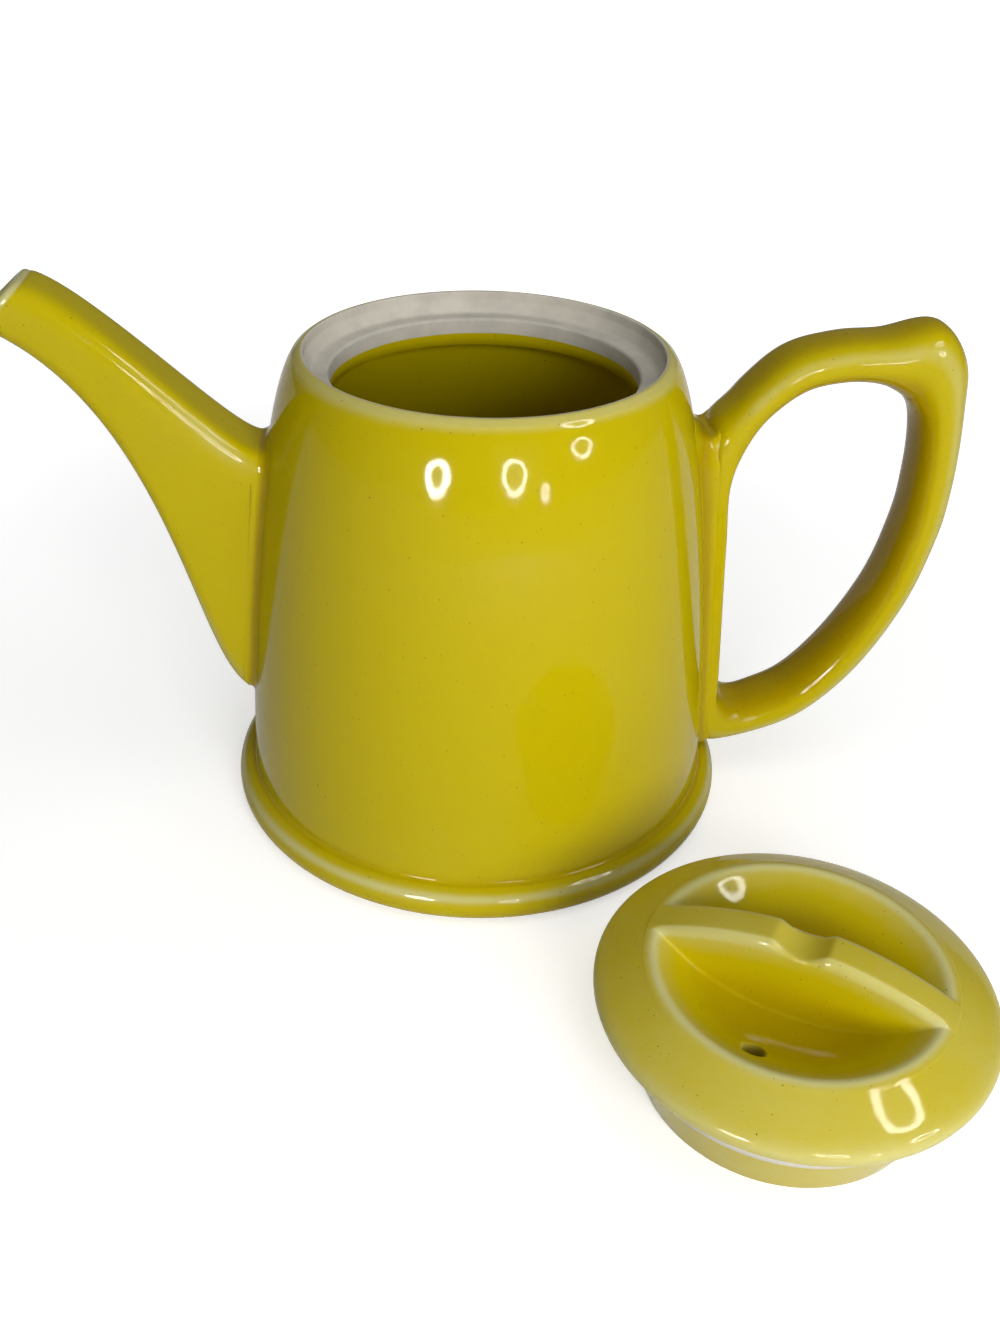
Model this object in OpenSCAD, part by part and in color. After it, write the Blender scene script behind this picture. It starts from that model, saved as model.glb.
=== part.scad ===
// Dome-bodied china teapot with a lift-off lid.
// Z is up and Z = 0 is the table. The pot's axis is X = Y = 0, its spout points to -X and its
// handle to +X. The lid is off the pot and stands upright on its collar in front of the handle.

/* [Pot body] */
// Radius of the wall just above the base flange
wall_foot_r = 61.2; // [57:0.1:64]
// Outer radius of the base flange
flange_r = 66; // [65:0.1:70]
// Thickness of the base flange
flange_t = 9.4; // [8:0.1:11]
// Height of the rim above the table
rim_z = 122; // [116:0.5:130]
// How far down the wall stays upright before it domes in: 1 is a straight cone
dome_p = 1.4; // [1.2:0.05:1.8]
// Roundness of the shoulder: smaller is squarer
dome_q = 0.55; // [0.45:0.01:0.7]
// Thickness of the wall and floor
wall = 4; // [3:0.25:5]
// Width of the rounding inside, between floor and wall
floor_round = 10; // [4:0.5:16]
// Height of the foot ring under the floor
foot_lift = 2.5; // [1:0.25:3]

/* [Mouth] */
// Radius of the throat that the lid's collar drops into
throat_r = 36.8; // [34:0.1:38]
// Length of the straight throat
throat_l = 7; // [5:0.5:10]
// Depth of the lid seat below the rim
seat_drop = 5.2; // [4:0.1:6.5]
// Width of the rim's lip
lip_w = 1; // [0.8:0.1:2]

/* [Spout and handle roots] */
// Gap between the spout's root and the dome at the root's top edge
spout_groove_w = 1.7; // [1:0.1:2.5]
// Gap between the handle's bar and the dome at the bar's top edge
handle_groove_w = 3.4; // [2.5:0.1:4.5]
// Height of the roots' top edge at the groove
root_top_z = 99.4; // [96:0.2:102]
// Width of the spout's root
spout_root_w = 22; // [20:0.2:25]
// Width of the handle's root
handle_root_w = 21; // [19:0.2:24]
// Depth of the seam groove along each root's edges
seam_d = 0.4; // [0.2:0.1:2]

/* [Spout] */
// Distance from the pot's axis to the spout's lip
spout_reach = 114; // [106:0.5:122]
// Height of the spout's lip at its top edge
spout_top_z = 139; // [132:0.5:145]
// Height of the spout's lowest point, where it leaves the wall
spout_low_z = 33; // [28:0.5:40]
// Width of the spout at its lip
spout_tip_w = 18; // [16:0.5:20]
// Slant of the lip: how far its lower edge reaches past its upper edge
lip_slant = 11; // [6:0.5:14]
// Height of the lip's opening, with its walls
lip_h = 9.8; // [8.5:0.1:12]
// Radius of the spout's long edges
spout_edge_r = 3.4; // [2:0.1:4]
// Thickness of the spout's wall
spout_wall = 3; // [2.5:0.1:3.5]

/* [Strainer] */
// Radius of each strainer hole
strainer_r = 1.6; // [1:0.1:1.8]
// Distance between strainer holes
strainer_pitch = 4.6; // [4.2:0.1:5]
// Rows of strainer holes
strainer_rows = 7; // [4:1:9]

/* [Handle] */
// Distance from the pot's axis to the back of the handle
handle_reach = 119.4; // [112:0.2:126]
// Height of the handle's top arm at its centre line
handle_high_z = 119.6; // [114:0.2:124]
// Height of the handle's foot at its centre line
handle_low_z = 16.5; // [16:0.2:24]
// Width of the handle's grip
handle_w = 19; // [16:0.2:20]
// Thickness of the handle's grip
handle_t = 11; // [9:0.2:13]
// How far the thumb rest stands up from the handle's corner
thumb_rise = 6; // [0:0.2:7]
// Thickness of the handle's upright bar at its foot
bar_low_t = 3.8; // [3:0.1:5.5]
// Thickness of the handle's upright bar at its top
bar_high_t = 4.5; // [4:0.1:6]

/* [Lid] */
// Radius of the lid's brim
brim_r = 42; // [40:0.1:44]
// Thickness of the brim at its edge
brim_t = 7.4; // [5.5:0.1:9]
// Height of the brim's underside above the foot of the collar
collar_h = 19.3; // [15:0.1:24]
// Radial gap between the collar and the throat
collar_gap = 0.6; // [0.3:0.1:1.2]
// Radial gap between the brim and the rim
brim_gap = 0.5; // [0.4:0.1:1.2]
// Radius of the collar's foot
collar_foot_r = 31.3; // [29:0.1:33]
// Height of the crown of the lid above the foot of the collar
crown_z = 38.1; // [35:0.1:41]
// Radius of the finger recess
recess_r = 29.8; // [26:0.1:31]
// Depth of the finger recess below the crown
recess_d = 17.6; // [14:0.1:18.6]
// Width of the grip bar across the recess
grip_w = 8.5; // [6:0.1:12]
// Length of the notch in the grip bar
notch_l = 11; // [6:0.5:16]
// Depth of the notch in the grip bar
notch_d = 2.4; // [1:0.1:4]
// Radius of the steam vent
vent_r = 2.2; // [1.5:0.1:3]
// Thickness of the lid's wall
lid_wall = 3.6; // [3:0.1:4]

/* [Lid off the pot] */
// Distance of the lid's centre from the pot's axis towards the handle
lid_x = 58.5; // [40:0.5:80]
// Distance of the lid's centre in front of the pot's axis
lid_y = 111.8; // [110:0.2:140]
// Turn of the grip bar about the lid's axis
lid_turn = -29.7; // [-90:0.1:90]

/* [Hidden] */
glaze = "#c9b40f";
eps = 0.01;
$fn = 96;

// ---- the pot's wall ----
rim_in_r = brim_r + brim_gap;
rim_r = rim_in_r + lip_w;
seat_z = rim_z - seat_drop;
flange_in_r = flange_r - flange_t/2;
flange_fillet = 1.2;
lip_round = 0.4;
lip_fall = 0.9;
foot_in_r = wall_foot_r - 2*wall;
function rise(z) = min(max((z - flange_t)/(rim_z - flange_t), 0), 1);
function wall_r(z) = rim_r + (wall_foot_r - rim_r)*pow(1 - pow(rise(z), dome_p), dome_q);

// ---- the leaning back planes of the roots ----
// Each plane stands off the dome by its groove at the roots' top edge and just clears the dome
// at the height lean_z.
lean_z = 50;
root_clear = 0.35;
function root_x(z, gap) = let(low = wall_r(lean_z) + root_clear, top = wall_r(root_top_z) + gap)
    low + (top - low)*(z - lean_z)/(root_top_z - lean_z);
closed_z = 36;
slope_h = 6;
root_wall = 4.5;
big = 400;

// ---- curves ----
function catmull(a, b, c, d, t) = 0.5*(2*b + (c - a)*t + (2*a - 5*b + 4*c - d)*t*t
    + (3*b - a - 3*c + d)*t*t*t);
function spline(p, n) = [for (i = [0:len(p) - 2]) for (k = [0:n - 1])
    catmull(p[max(i - 1, 0)], p[i], p[i + 1], p[min(i + 2, len(p) - 1)], k/n), p[len(p) - 1]];
function bezier(p, t) = p[0]*pow(1 - t, 3) + p[1]*3*t*pow(1 - t, 2) + p[2]*3*t*t*(1 - t)
    + p[3]*pow(t, 3);
function unit(v) = v/norm(v);

// Sections are rings of points. A ring lies across the pot's middle plane: its middle m and its
// direction d are [x, z] in that plane, h is its half height along d and w its half width in Y.
function place(m, d, u, v) = [m[0] + d[0]*u, v, m[1] + d[1]*u];
function oval(m, d, h, w, power, n) = [for (i = [0:n - 1]) let(c = cos(360*i/n), s = sin(360*i/n))
    place(m, d, h*sign(s)*pow(abs(s), 2/power), w*sign(c)*pow(abs(c), 2/power))];
function box(m, d, h, w, r, n) = [for (q = [0:3]) for (k = [0:n]) let(t = 90*(q + k/n),
    su = q < 2 ? 1 : -1, sv = q == 0 || q == 3 ? 1 : -1)
    place(m, d, su*(h - r) + r*sin(t), sv*(w - r) + r*cos(t))];

// A skin over rings that all have the same number of points, with flat ends.
module loft(rings) {
    n = len(rings[0]);
    last = len(rings) - 1;
    polyhedron([for (r = rings) each r], [
        [for (i = [0:n - 1]) i],
        for (k = [0:last - 1]) for (i = [0:n - 1]) let(j = (i + 1)%n)
            each [[k*n + i, k*n + n + i, k*n + j], [k*n + j, k*n + n + i, k*n + n + j]],
        [for (i = [n - 1:-1:0]) last*n + i]], convexity = 6);
}

// A skin over rings that close on themselves, like a tube with a wall.
module closed_loft(rings) {
    n = len(rings[0]);
    m = len(rings);
    polyhedron([for (r = rings) each r], [
        for (k = [0:m - 1]) for (i = [0:n - 1]) let(j = (i + 1)%n, l = (k + 1)%m)
            each [[k*n + i, l*n + i, k*n + j], [k*n + j, l*n + i, l*n + j]]], convexity = 6);
}

// A block with a side outline in the middle plane and a width in Y.
module slab(outline, w) {
    rotate([90, 0, 0])
        linear_extrude(w, center = true)
            polygon(outline);
}

// Everything behind a root's leaning plane.
module behind_root(gap) {
    slab([[0, -1], [root_x(-1, gap), -1], [root_x(rim_z, gap), rim_z], [0, rim_z]], big);
}

// ---- pot body ----
module wall_section() {
    steps = 36;
    polygon([[0, 0], [wall_foot_r, 0],
        for (i = [0:steps]) let(t = 1 - pow(1 - i/steps, 2), z = flange_t + t*(rim_z - lip_fall - flange_t))
            [wall_r(z), z],
        [rim_r, rim_z - lip_fall/5], [rim_r - lip_round, rim_z], [0, rim_z]]);
}

module flange_section() {
    translate([flange_in_r, flange_t/2])
        circle(flange_t/2);
    translate([wall_foot_r - eps, flange_t - eps])
        difference() {
            square(flange_fillet);
            translate([flange_fillet, flange_fillet])
                circle(flange_fillet);
        }
}

module hollow_section() {
    steps = 20;
    floor_z = foot_lift + wall;
    shoulder_z = seat_z - throat_l - wall;
    low_z = floor_z + floor_round;
    corner_r = wall_r(low_z) - wall - floor_round;
    polygon([[0, floor_z],
        for (a = [0:15:90]) [corner_r + floor_round*sin(a), low_z - floor_round*cos(a)],
        for (i = [1:steps]) let(z = low_z + i/steps*(shoulder_z - low_z)) [wall_r(z) - wall, z],
        [throat_r, seat_z - throat_l], [throat_r, seat_z], [rim_in_r - seat_drop/3, seat_z],
        for (a = [0:15:45]) [rim_in_r - seat_drop/3*(1 - sin(2*a)), rim_z - seat_drop*(1 - a/60)],
        for (a = [0:30:90]) [rim_in_r + lip_round*(1 - cos(a)), rim_z - lip_round*(1 - sin(a))],
        [rim_in_r + lip_round, rim_z + 1], [0, rim_z + 1]]);
}

module pot_outside() {
    rotate_extrude() {
        wall_section();
        flange_section();
    }
}

module pot_inside() {
    rotate_extrude() {
        hollow_section();
        polygon([[0, -1], [foot_in_r + 1, -1], [foot_in_r - foot_lift, foot_lift], [0, foot_lift]]);
    }
}

// The neck that carries a root across its groove, from low to high, with a hollow slope of the
// height rise on top, up to the dome.
module neck(low, high, rise, w, gap) {
    inset = wall/2;
    out = root_x(high, gap) - wall_r(high);
    slab([[wall_r(low) - inset, low], [root_x(low, gap), low], [root_x(high, gap), high],
        [wall_r(high) + 0.45*out, high + 0.1*rise], [wall_r(high) + 0.1*out, high + 0.3*rise],
        [wall_r(high + rise) - inset/2, high + rise], [wall_r(high) - inset - out, high + rise/2]], w);
}

// The pouring passage where it runs through the spout's neck.
module passage() {
    low = spout_low_z + root_wall;
    high = root_top_z - root_wall;
    slab([[wall_r(low) - wall, low], [big, low], [big, high], [wall_r(high) - wall, high]],
        spout_root_w - 2*root_wall);
}

module strainer() {
    mid_z = (spout_low_z + root_top_z)/2;
    for (row = [0:strainer_rows - 1])
        for (col = [-1:1])
            translate([wall_foot_r - 4*wall, col*strainer_pitch,
                mid_z + (row - (strainer_rows - 1)/2)*strainer_pitch*1.3])
                rotate([0, 90, 0])
                    cylinder(r = strainer_r, h = 5*wall);
}

module pot_body() {
    color(glaze)
        difference() {
            union() {
                pot_outside();
                neck(bar_low_z, closed_z, 0, handle_root_w, handle_groove_w);
                neck(closed_z - eps, root_top_z - seam_d, slope_h, handle_root_w - 2*seam_d,
                    handle_groove_w);
                mirror([1, 0, 0])
                    difference() {
                        neck(spout_low_z + seam_d, root_top_z - seam_d, slope_h/2,
                            spout_root_w - 2*seam_d, spout_groove_w);
                        passage();
                    }
            }
            pot_inside();
            mirror([1, 0, 0])
                strainer();
        }
}

// ---- spout ----
spout_steps = 26;
spout_high_x = root_x(root_top_z, spout_groove_w);
spout_low_x = root_x(spout_low_z, spout_groove_w);
spout_dx = spout_reach - spout_low_x;
spout_dz = spout_top_z - spout_low_z;
spout_top = [[-spout_high_x, root_top_z], [-spout_high_x - 0.13*spout_dx, root_top_z],
    [lip_slant + 0.24*spout_dx - spout_reach, spout_top_z - 0.03*spout_dz],
    [lip_slant - spout_reach, spout_top_z]];
spout_low = [[-spout_low_x, spout_low_z], [-spout_low_x - 0.26*spout_dx, spout_low_z + 0.1*spout_dz],
    [0.77*spout_dx - spout_reach, spout_top_z - 0.27*spout_dz], [-spout_reach, spout_top_z - lip_h]];
function spout_half_w(t) = spout_root_w/2 + (spout_tip_w - spout_root_w)/2*min(1, 1.4*t);
function spout_wall_at(t) = spout_wall + (root_wall - spout_wall)*max(0, 1 - 7*t);
function spout_ring(t, in) = let(a = bezier(spout_top, t), b = bezier(spout_low, t), d = unit(a - b),
    r = max(spout_edge_r - in, 0.6))
    box((a + b)/2, d, norm(a - b)/2 - in, spout_half_w(t) - in, r, 5);

module spout() {
    color(glaze)
        closed_loft([
            for (i = [0:spout_steps]) spout_ring(i/spout_steps, 0),
            for (i = [spout_steps:-1:0]) spout_ring(i/spout_steps, spout_wall_at(i/spout_steps))]);
}

// ---- handle ----
// Its centre line runs from the bar's top round to the bar's foot. Each point gives how far it
// lies along the reach, how far up between low and high, and its half thickness out and in.
arm_start = 2;
handle_x0 = wall_r(root_top_z) + arm_start;
handle_dx = handle_reach - handle_t/2 - handle_x0;
handle_dz = handle_high_z - handle_low_z;
half_t = handle_t/2;
handle_path = [for (p = [[0.07, 0.74, -1.2, -1.4], [0.1, 0.805, -0.5, -0.9], [0.2, 0.895, -0.7, -1],
    [0.35, 0.972, -0.1, -0.3], [0.53, 1, 0, 0], [0.7, 1, 0.8, 0.6], [0.84, 0.98, thumb_rise, 2],
    [0.92, 0.95, 0.6*thumb_rise, 2.4], [0.975, 0.88, 0.5, 1.2], [0.995, 0.79, 0, 0.3], [1, 0.68, 0, 0],
    [0.985, 0.56, 0, -0.2], [0.91, 0.38, 0, -0.4], [0.76, 0.2, 0, 0], [0.57, 0.07, -0.3, -0.2],
    [0.37, 0.01, -0.3, 0], [0.2, -0.01, 0, 0], [0.12, -0.01, 0, 0]])
    [handle_x0 + p[0]*handle_dx, handle_low_z + p[1]*handle_dz, half_t + p[2], half_t + p[3]]];
handle_skin = spline(handle_path, 3);

function handle_ring(i) = let(p = handle_skin[i], last = len(handle_skin) - 1,
    a = handle_skin[max(i - 1, 0)], b = handle_skin[min(i + 1, last)], t = unit([b[0] - a[0], b[1] - a[1]]),
    d = [-t[1], t[0]], mid = (p[2] - p[3])/2)
    oval([p[0], p[1]] + d*mid, d, (p[2] + p[3])/2, handle_w/2, 2.5, 20);

// The upright bar behind the groove, as slices from its foot to its top.
bar_lift = 1.4;
bar_low_z = flange_t + bar_lift;
bar_round = 2.4;
bar_drop = 2;
function bar_ring(z, n) = let(x0 = root_x(z, handle_groove_w), w = handle_root_w/2, r = bar_round,
    x1 = x0 + bar_low_t + (bar_high_t - bar_low_t)*z/root_top_z)
    [[x0 - 1, -w, z], for (k = [0:n]) let(a = 90*k/n) [x1 - r + r*sin(a), -w + r - r*cos(a), z],
     for (k = [n:-1:0]) let(a = 90*k/n) [x1 - r + r*sin(a), w - r + r*cos(a), z], [x0 - 1, w, z]];

module handle() {
    color(glaze)
        difference() {
            union() {
                loft([for (i = [0:len(handle_skin) - 1]) handle_ring(i)]);
                loft([bar_ring(bar_low_z, 5), bar_ring(lean_z, 5), bar_ring(root_top_z - bar_drop, 5)]);
            }
            behind_root(handle_groove_w);
        }
}

// ---- lid ----
collar_r = throat_r - collar_gap;
bead_r = brim_t/2;
bead_z = collar_h + bead_r;
dome_fall = (crown_z - bead_z - bead_r)/pow(brim_r - bead_r, 2);
function crown(r) = crown_z - dome_fall*r*r;
function recess(r) = crown_z - recess_d + (crown(recess_r) - crown_z + recess_d)*pow(r/recess_r, 2.4);
collar_straight = 5.5;
collar_round = 1.6;

module lid_section() {
    steps = 16;
    edge = brim_r - bead_r;
    translate([edge, bead_z])
        circle(bead_r);
    polygon([[0, 0], [collar_foot_r - collar_round, 0],
        for (a = [15:15:75]) [collar_foot_r - collar_round*(1 - sin(a)), collar_round*(1 - cos(a))],
        [collar_foot_r, collar_round], [collar_r, collar_h - collar_straight], [collar_r, collar_h],
        [edge, collar_h], for (i = [steps:-1:0]) [edge*i/steps, crown(edge*i/steps)]]);
}

module lid_hollow_section() {
    top = crown_z - recess_d - lid_wall;
    polygon([[0, -1], [collar_foot_r - lid_wall, -1], [collar_foot_r - lid_wall, 0],
        [collar_r - lid_wall, top - 3*lid_wall/2],
        for (a = [0:15:90]) [collar_r - 2*lid_wall + lid_wall*cos(a), top - lid_wall + lid_wall*sin(a)],
        [0, top]]);
}

module recess_section() {
    steps = 16;
    polygon([for (i = [0:steps]) let(r = recess_r*i/steps) [r, recess(r)],
        [recess_r, crown_z + 1], [0, crown_z + 1]]);
}

module grip_bar() {
    draft = 1.2;
    foot = crown_z - recess_d - 1;
    intersection() {
        rotate([90, 0, 90])
            linear_extrude(2*recess_r, center = true)
                polygon([[-grip_w/2 - draft, foot], [grip_w/2 + draft, foot],
                    [grip_w/2, crown_z], [-grip_w/2, crown_z]]);
        rotate_extrude()
            lid_section();
    }
}

module notch() {
    r = (notch_l*notch_l/4 + notch_d*notch_d)/(2*notch_d);
    translate([0, 0, crown_z - notch_d + r])
        rotate([90, 0, 0])
            cylinder(r = r, h = 4*grip_w, center = true);
}

module lid_shape() {
    vent_x = 0.1*recess_r;
    vent_y = 0.7*recess_r;
    difference() {
        union() {
            difference() {
                rotate_extrude()
                    lid_section();
                rotate_extrude()
                    recess_section();
            }
            grip_bar();
        }
        notch();
        rotate_extrude()
            lid_hollow_section();
        translate([-vent_x, -vent_y, -1])
            cylinder(r = vent_r, h = crown_z);
    }
}

module lid() {
    color(glaze)
        translate([lid_x, -lid_y, 0])
            rotate([0, 0, lid_turn])
                lid_shape();
}

pot_body();
spout();
handle();
lid();
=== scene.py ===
"""Yellow-glazed china teapot with its lid standing beside it, laid out as an add-on and run as a script."""

import math

import bmesh
import bpy
import numpy as np
from bpy.props import FloatProperty, FloatVectorProperty, IntProperty, PointerProperty
from mathutils import Matrix, Vector


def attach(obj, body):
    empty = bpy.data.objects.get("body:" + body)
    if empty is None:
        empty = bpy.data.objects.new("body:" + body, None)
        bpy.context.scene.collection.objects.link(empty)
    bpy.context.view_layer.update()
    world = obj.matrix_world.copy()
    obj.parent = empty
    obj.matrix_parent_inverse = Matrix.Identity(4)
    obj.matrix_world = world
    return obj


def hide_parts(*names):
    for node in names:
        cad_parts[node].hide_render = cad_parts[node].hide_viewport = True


bl_info = {
    "name": "China Teapot",
    "version": (1, 0, 0),
    "blender": (4, 5, 0),
    "location": "View3D > Sidebar > Teapot",
    "description": "Builds a glazed china teapot, its lid and a plain studio",
    "category": "Add Mesh",
}

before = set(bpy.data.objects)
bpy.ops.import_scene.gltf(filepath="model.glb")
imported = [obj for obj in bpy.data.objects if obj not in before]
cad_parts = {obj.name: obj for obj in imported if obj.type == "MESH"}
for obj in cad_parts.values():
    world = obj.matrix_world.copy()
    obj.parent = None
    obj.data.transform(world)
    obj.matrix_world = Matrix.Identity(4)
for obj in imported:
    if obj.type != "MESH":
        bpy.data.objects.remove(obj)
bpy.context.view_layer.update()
MM = 0.001


# ---- sizes and colours -------------------------------------------------------------------------


def length(name, text, default):
    """A length in millimetres, held in metres as Blender does."""
    return FloatProperty(name=name, description=text, default=default * MM, unit="LENGTH", precision=5)


def colour(name, text, default):
    return FloatVectorProperty(
        name=name, description=text, default=default, size=3, min=0.0, max=1.0, subtype="COLOR"
    )


class PotSizes(bpy.types.PropertyGroup):
    wall_foot_r: length("Wall radius", "Radius of the wall just above the base flange", 61.2)
    flange_r: length("Flange radius", "Outer radius of the base flange", 66.0)
    flange_t: length("Flange thickness", "Thickness of the base flange", 9.4)
    rim_z: length("Rim height", "Height of the rim above the table", 122.0)
    rim_r: length("Rim radius", "Outer radius of the rim", 43.5)
    lip_w: length("Lip width", "Width of the rim's lip", 1.0)
    seat_drop: length("Seat depth", "Depth of the lid seat below the rim", 5.2)
    throat_r: length("Throat radius", "Radius of the throat under the seat", 36.8)
    throat_l: length("Throat length", "Length of the straight throat", 7.0)
    wall: length("Wall thickness", "Thickness of the wall and floor", 4.0)


class RootSizes(bpy.types.PropertyGroup):
    top_z: length("Root top", "Height of the roots' top edge at the groove", 99.4)
    spout_gap: length("Spout groove", "Gap between the spout's root and the dome, at the top", 1.7)
    handle_gap: length("Handle groove", "Gap between the handle's bar and the dome, at the top", 3.4)
    clear: length("Clearance", "How far the roots' planes clear the dome lower down", 0.35)
    clear_z: length("Clearance height", "Height where that clearance is measured", 50.0)
    bar_low_z: length("Bar foot", "Height of the handle bar's foot", 10.8)
    bar_w: length("Bar width", "Width of the handle's bar", 21.0)


class SpoutSizes(bpy.types.PropertyGroup):
    reach: length("Reach", "Distance from the pot's axis to the spout's lip", 114.0)
    top_z: length("Lip top", "Height of the spout's lip at its top edge", 139.0)
    low_z: length("Foot height", "Height where the spout's underside leaves the wall", 33.0)
    lip_slant: length("Lip slant", "How far the lip's lower edge reaches past its upper edge", 11.0)
    lip_h: length("Lip height", "Height of the lip's opening, with its walls", 9.8)
    root_w: length("Root width", "Width of the spout's root", 22.0)
    tip_w: length("Tip width", "Width of the spout at its lip", 18.0)
    wall: length("Wall thickness", "Thickness of the spout's wall", 3.0)


class HandleSizes(bpy.types.PropertyGroup):
    reach: length("Reach", "Distance from the pot's axis to the back of the handle", 119.4)
    high_z: length("Top arm", "Height of the top arm at its centre line", 119.6)
    low_z: length("Bottom arm", "Height of the handle's foot at its centre line", 16.5)
    width: length("Width", "Width of the handle's grip", 19.0)
    thickness: length("Thickness", "Thickness of the handle's grip", 11.0)
    bar_low_t: length("Bar foot thickness", "Thickness of the upright bar at its foot", 3.8)
    bar_high_t: length("Bar top thickness", "Thickness of the upright bar at its top", 4.5)


class LidSizes(bpy.types.PropertyGroup):
    brim_r: length("Brim radius", "Radius of the lid's brim", 42.0)
    brim_t: length("Brim thickness", "Thickness of the brim at its edge", 7.4)
    collar_h: length("Collar height", "Height of the brim's underside above the collar's foot", 19.3)
    collar_r: length("Collar radius", "Radius of the collar under the brim", 36.2)
    collar_foot_r: length("Collar foot radius", "Radius of the collar's foot", 31.3)
    crown_z: length("Crown height", "Height of the crown above the foot of the collar", 38.1)
    recess_r: length("Recess radius", "Radius of the finger recess", 29.8)
    recess_d: length("Recess depth", "Depth of the finger recess below the crown", 17.6)
    grip_w: length("Grip width", "Width of the grip bar across the recess", 8.5)
    vent_r: length("Vent radius", "Radius of the steam vent", 2.2)
    centre_x: length("Lid place X", "Place of the lid's axis towards the handle", 58.5)
    centre_y: length("Lid place Y", "Place of the lid's axis, in front of the pot when negative", -111.8)
    turn: FloatProperty(
        name="Grip turn", description="Turn of the grip bar", default=math.radians(-29.7), subtype="ANGLE"
    )


class GlazeColours(bpy.types.PropertyGroup):
    glaze: colour("Glaze", "Glaze at its usual thickness", (0.54, 0.43, 0.0015))
    # The pooled colour also paints shade on the flange's bead and the grip, and the thin colour also paints
    # highlights there.
    pooled: colour("Pooled glaze", "Glaze where it has run thick", (0.42, 0.29, 0.0006))
    thin: colour("Thin glaze", "Glaze where the white body shows through", (0.62, 0.58, 0.24))
    bare: colour("Bare china", "Unglazed china", (0.66, 0.62, 0.53))
    roughness: FloatProperty(
        name="Roughness",
        description="Roughness of the glaze",
        default=0.07,
        min=0.0,
        max=1.0,
        subtype="FACTOR",
    )


class StudioSettings(bpy.types.PropertyGroup):
    lens: FloatProperty(name="Lens", description="Focal length in millimetres", default=35.706, unit="CAMERA")
    sky: FloatProperty(name="Sky", description="Strength of the even light", default=0.16, min=0.0)
    lamp: FloatProperty(name="Lamps", description="Power of the key lamps", default=1.0, min=0.0)
    floor: colour("Floor", "Colour of the floor", (0.75, 0.75, 0.75))
    floor_lift: FloatProperty(
        name="Floor lift", description="White added to the floor as seen", default=0.58, min=0.0
    )


class TeapotSettings(bpy.types.PropertyGroup):
    pot: PointerProperty(type=PotSizes)
    root: PointerProperty(type=RootSizes)
    spout: PointerProperty(type=SpoutSizes)
    handle: PointerProperty(type=HandleSizes)
    lid: PointerProperty(type=LidSizes)
    colours: PointerProperty(type=GlazeColours)
    studio: PointerProperty(type=StudioSettings)


def settings():
    return bpy.context.scene.china_teapot


class Sizes:
    """The lengths of one property group, in millimetres."""

    def __init__(self, group):
        for name in group.__annotations__:
            value = getattr(group, name)
            setattr(self, name, value / MM if group.bl_rna.properties[name].unit == "LENGTH" else value)


# ---- surfaces ----------------------------------------------------------------------------------


def signed_power(value, power):
    return np.sign(value) * np.abs(value) ** power


def smooth_step(low, high, value):
    """0 below low, 1 above high and a smooth 3t^2 - 2t^3 between them."""
    t = np.clip((value - low) / (high - low), 0.0, 1.0)
    return t * t * (3.0 - 2.0 * t)


def soft_max(a, b, width):
    """The larger of a and b, rounded over width: (a + b + sqrt((a - b)^2 + width^2)) / 2."""
    return 0.5 * (a + b + np.sqrt((a - b) ** 2 + width * width))


def soft_min(a, b, width):
    return -soft_max(-a, -b, width)


def rounded(points, radii, steps=8):
    """A polyline whose corners are arcs of the given radii, tangent to both sides."""
    points = np.asarray(points, float)
    line = [points[:1]]
    for before, corner, after, radius in zip(points, points[1:], points[2:], radii):
        a, b = before - corner, after - corner
        a, b = a / np.linalg.norm(a), b / np.linalg.norm(b)
        half = 0.5 * math.acos(float(np.clip(a @ b, -1.0, 1.0)))
        if radius <= 0.0 or half > 1.56:
            line.append(corner[None])
            continue
        middle = corner + (a + b) / np.linalg.norm(a + b) * radius / math.sin(half)
        start = corner + a * radius / math.tan(half) - middle
        end = corner + b * radius / math.tan(half) - middle
        sweep = math.pi - 2.0 * half
        t = np.linspace(0.0, sweep, steps)[:, None]
        line.append(middle + (np.sin(sweep - t) * start + np.sin(t) * end) / math.sin(sweep))
    line.append(points[-1:])
    return np.concatenate(line)


def even(line, step):
    """The same polyline with long sides divided so that no side is longer than step."""
    sides = np.linalg.norm(np.diff(line, axis=0), axis=1)
    pieces = [
        a + (b - a) * np.arange(count)[:, None] / count
        for a, b, count in zip(line, line[1:], np.maximum(1, np.ceil(sides / step)).astype(int))
    ]
    return np.concatenate(pieces + [line[-1:]])


def catmull(points, steps):
    """A Catmull-Rom curve through the rows of points, steps rows to each span."""
    p = np.asarray(points, float)
    p = np.concatenate([p[:1], p, p[-1:]])
    t = (np.arange(steps) / steps)[None, :, None]
    a, b, c, d = (p[i : len(p) - 3 + i, None, :] for i in range(4))
    curve = 0.5 * (2 * b + (c - a) * t + (2 * a - 5 * b + 4 * c - d) * t**2 + (3 * b - a - 3 * c + d) * t**3)
    return np.concatenate([curve.reshape(-1, p.shape[1]), p[-2:-1]])


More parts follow.
